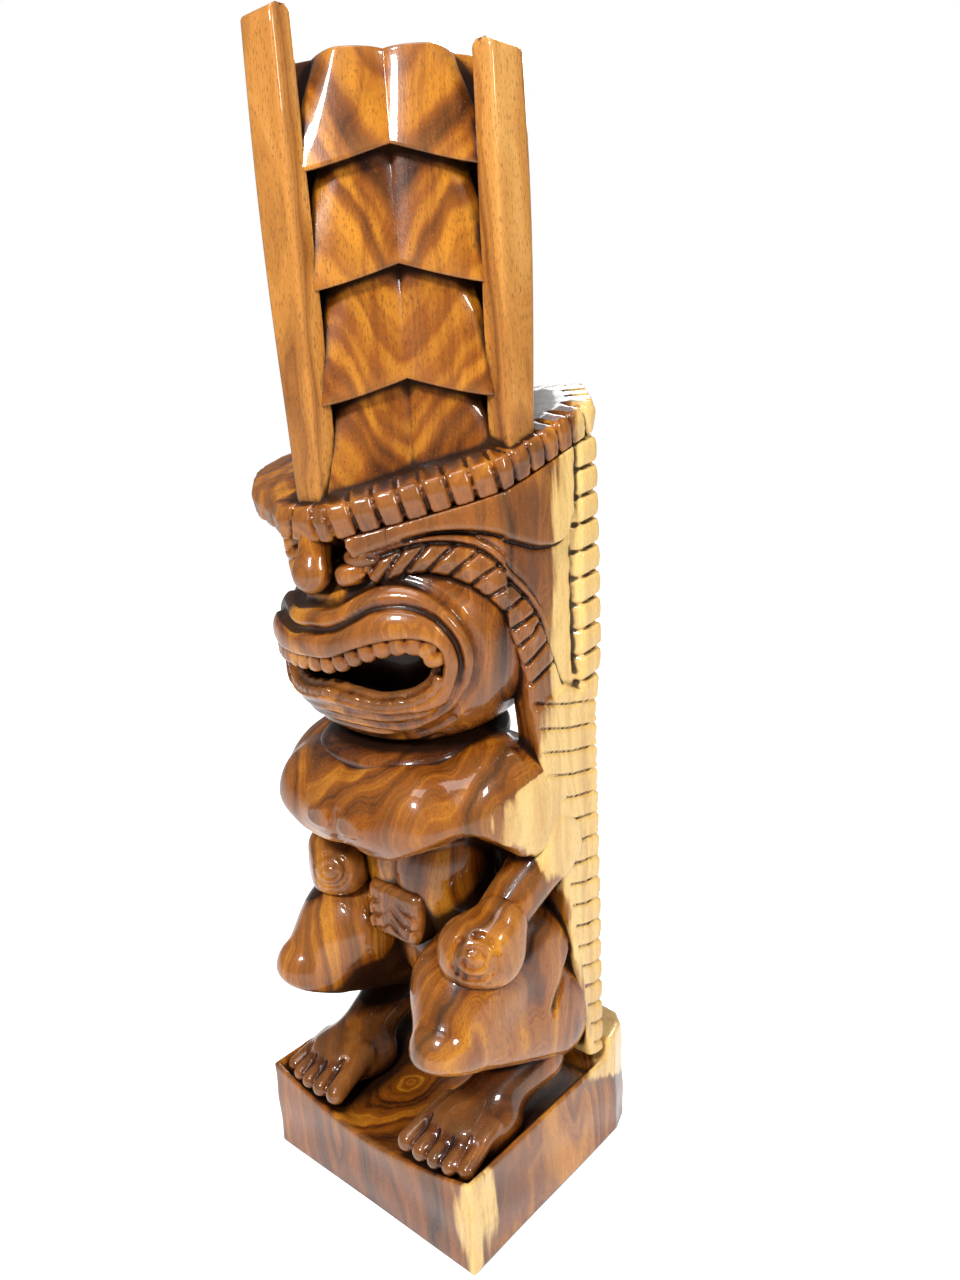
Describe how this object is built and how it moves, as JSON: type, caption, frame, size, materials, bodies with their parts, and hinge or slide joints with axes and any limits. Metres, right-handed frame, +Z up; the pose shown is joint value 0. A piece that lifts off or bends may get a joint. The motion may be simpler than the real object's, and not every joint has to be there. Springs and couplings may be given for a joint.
{
  "type": "carved wooden tiki figure",
  "caption": "Standing carved wooden tiki figure with a tall tiered crown, wide open mouth, notched braids and bent legs on a square base.",
  "frame": {"origin": "middle of the base's underside", "axes": "+Z up along the log's axis, the figure faces -Y, its left side is +X"},
  "size_m": [0.134, 0.134, 0.508],
  "materials": {
    "heartwood": "orange-brown heartwood with dark streaks under clear gloss varnish",
    "dark_heartwood": "dark chocolate-brown heartwood and stained recesses under clear gloss varnish",
    "amber_heartwood": "honey-brown heartwood under clear gloss varnish",
    "sapwood": "pale yellow sapwood under clear gloss varnish"
  },
  "bodies": {
    "root": {"base_block": "heartwood", "left_hand": "heartwood", "right_hand": "heartwood", "left_forearm": "heartwood", "right_forearm": "heartwood", "left_thigh": "heartwood", "right_thigh": "heartwood", "crown_tier_1": "heartwood", "crown_tier_2": "heartwood", "crown_tier_3": "heartwood", "crown_tier_4": "heartwood", "left_side_rim": "heartwood", "right_side_rim": "heartwood", "nose": "heartwood", "left_eye_braid": "heartwood", "right_eye_braid": "heartwood", "head": "heartwood", "chest": "heartwood", "belly": "heartwood", "left_foot": "dark_heartwood", "right_foot": "dark_heartwood", "loincloth_knot": "dark_heartwood", "left_shin": "dark_heartwood", "right_shin": "dark_heartwood", "brow_plate": "dark_heartwood", "front_rim": "dark_heartwood", "left_cheek_rim": "dark_heartwood", "right_cheek_rim": "dark_heartwood", "left_eye": "dark_heartwood", "right_eye": "dark_heartwood", "neck": "dark_heartwood", "front_blade": "amber_heartwood", "left_blade": "amber_heartwood", "back_blade": "amber_heartwood", "right_blade": "amber_heartwood", "upper_teeth": "amber_heartwood", "lower_teeth": "amber_heartwood", "left_upper_arm": "amber_heartwood", "right_upper_arm": "amber_heartwood", "left_corner_rim": "sapwood", "right_corner_rim": "sapwood", "back_rim": "sapwood", "left_back_braid": "sapwood", "right_back_braid": "sapwood", "left_temple_panel": "sapwood", "right_temple_panel": "sapwood", "left_cape_braid": "sapwood", "right_cape_braid": "sapwood"}
  },
  "joints": []
}
